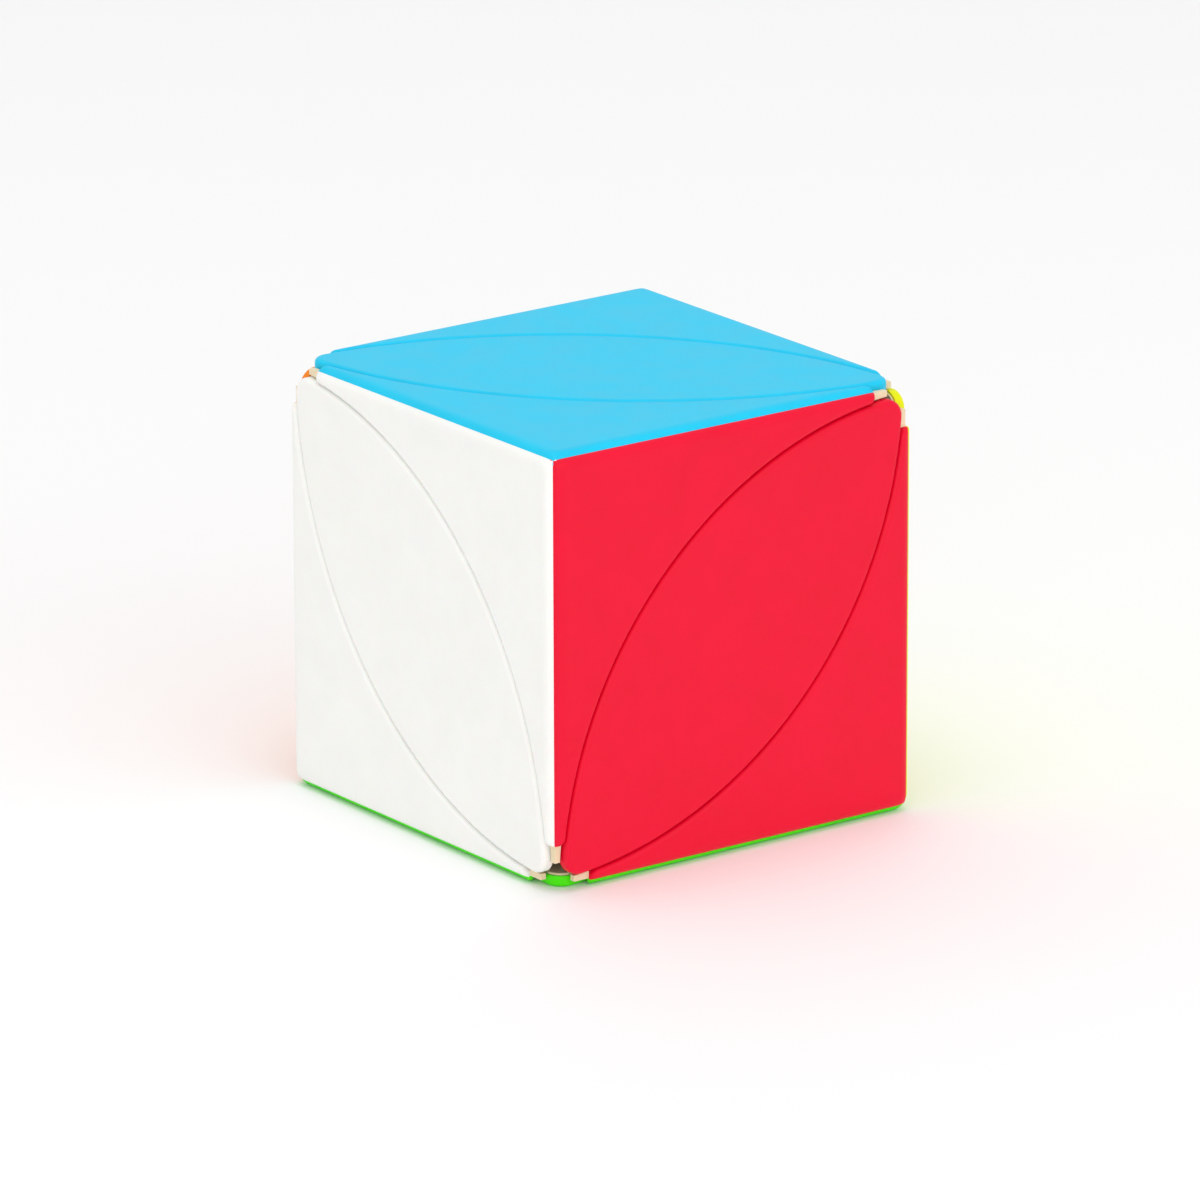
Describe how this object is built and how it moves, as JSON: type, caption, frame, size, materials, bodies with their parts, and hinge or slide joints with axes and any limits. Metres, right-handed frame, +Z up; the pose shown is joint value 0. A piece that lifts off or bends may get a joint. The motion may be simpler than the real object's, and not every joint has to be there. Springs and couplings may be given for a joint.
{
  "type": "leaf-cut cube puzzle",
  "caption": "Corner-turning cube puzzle with curved cuts: petals round each turning corner and a leaf on every face, on a screwed and sprung ball core.",
  "frame": {"origin": "middle of the bottom face", "axes": "+Z up through the top face, -Y towards the white face, +X towards the red face"},
  "size_m": [0.056, 0.056, 0.056],
  "materials": {
    "blue_plastic": "moulded, finely frosted",
    "white_plastic": "moulded, finely frosted",
    "red_plastic": "moulded, finely frosted",
    "orange_plastic": "moulded, finely frosted",
    "yellow_plastic": "moulded, finely frosted",
    "green_plastic": "moulded, finely frosted",
    "cream_plastic": "moulded, finely frosted",
    "core_plastic": "moulded nylon",
    "zinc_steel": "zinc plated",
    "spring_steel": "drawn wire"
  },
  "bodies": {
    "core": {"core": "core_plastic", "screw_front": "zinc_steel", "screw_back": "zinc_steel", "screw_left": "zinc_steel", "screw_right": "zinc_steel", "washer_front": "zinc_steel", "washer_back": "zinc_steel", "washer_left": "zinc_steel", "washer_right": "zinc_steel"},
    "corner_front": {"corner_front": "cream_plastic", "spring_front": "spring_steel", "petal_front_blue": "blue_plastic", "petal_front_white": "white_plastic", "petal_front_red": "red_plastic"},
    "corner_back": {"corner_back": "cream_plastic", "spring_back": "spring_steel", "petal_back_blue": "blue_plastic", "petal_back_yellow": "yellow_plastic", "petal_back_orange": "orange_plastic"},
    "corner_left": {"corner_left": "cream_plastic", "spring_left": "spring_steel", "petal_left_green": "green_plastic", "petal_left_white": "white_plastic", "petal_left_orange": "orange_plastic"},
    "corner_right": {"corner_right": "cream_plastic", "spring_right": "spring_steel", "petal_right_green": "green_plastic", "petal_right_yellow": "yellow_plastic", "petal_right_red": "red_plastic"},
    "leaf_blue": {"leaf_base_blue": "cream_plastic", "leaf_tile_blue": "blue_plastic"},
    "leaf_white": {"leaf_base_white": "cream_plastic", "leaf_tile_white": "white_plastic"},
    "leaf_red": {"leaf_base_red": "cream_plastic", "leaf_tile_red": "red_plastic"},
    "leaf_orange": {"leaf_base_orange": "cream_plastic", "leaf_tile_orange": "orange_plastic"},
    "leaf_yellow": {"leaf_base_yellow": "cream_plastic", "leaf_tile_yellow": "yellow_plastic"},
    "leaf_green": {"leaf_base_green": "cream_plastic", "leaf_tile_green": "green_plastic"}
  },
  "joints": [
    {"name": "turn_front", "type": "hinge", "parent": "core", "child": "corner_front", "pos_m": [0, 0, 0.028], "axis": [0.5774, -0.5774, 0.5774], "continuous": true},
    {"name": "turn_back", "type": "hinge", "parent": "core", "child": "corner_back", "pos_m": [0, 0, 0.028], "axis": [-0.5774, 0.5774, 0.5774], "range_deg": [-360, 360]},
    {"name": "turn_left", "type": "hinge", "parent": "core", "child": "corner_left", "pos_m": [0, 0, 0.028], "axis": [-0.5774, -0.5774, -0.5774], "range_deg": [-360, 360]},
    {"name": "turn_right", "type": "hinge", "parent": "core", "child": "corner_right", "pos_m": [0, 0, 0.028], "axis": [0.5774, 0.5774, -0.5774], "range_deg": [-360, 360]},
    {"name": "leaf_blue_turn", "type": "hinge", "parent": "corner_front", "child": "leaf_blue", "pos_m": [0, 0, 0.028], "axis": [-0.5774, 0.5774, 0.5774], "range_deg": [-360, 360]},
    {"name": "leaf_white_turn", "type": "hinge", "parent": "corner_front", "child": "leaf_white", "pos_m": [0, 0, 0.028], "axis": [-0.5774, -0.5774, -0.5774], "range_deg": [-360, 360]},
    {"name": "leaf_red_turn", "type": "hinge", "parent": "corner_front", "child": "leaf_red", "pos_m": [0, 0, 0.028], "axis": [0.5774, 0.5774, -0.5774], "range_deg": [-360, 360]},
    {"name": "leaf_orange_turn", "type": "hinge", "parent": "corner_back", "child": "leaf_orange", "pos_m": [0, 0, 0.028], "axis": [-0.5774, -0.5774, -0.5774], "range_deg": [-360, 360]},
    {"name": "leaf_yellow_turn", "type": "hinge", "parent": "corner_back", "child": "leaf_yellow", "pos_m": [0, 0, 0.028], "axis": [0.5774, 0.5774, -0.5774], "range_deg": [-360, 360]},
    {"name": "leaf_green_turn", "type": "hinge", "parent": "corner_left", "child": "leaf_green", "pos_m": [0, 0, 0.028], "axis": [0.5774, 0.5774, -0.5774], "range_deg": [-360, 360]}
  ],
  "couplings": [
    {"joint": "leaf_blue_turn", "follows": "turn_back", "ratio": 1},
    {"joint": "leaf_white_turn", "follows": "turn_left", "ratio": 1},
    {"joint": "leaf_red_turn", "follows": "turn_right", "ratio": 1},
    {"joint": "leaf_orange_turn", "follows": "turn_left", "ratio": 1},
    {"joint": "leaf_yellow_turn", "follows": "turn_right", "ratio": 1},
    {"joint": "leaf_green_turn", "follows": "turn_right", "ratio": 1}
  ]
}
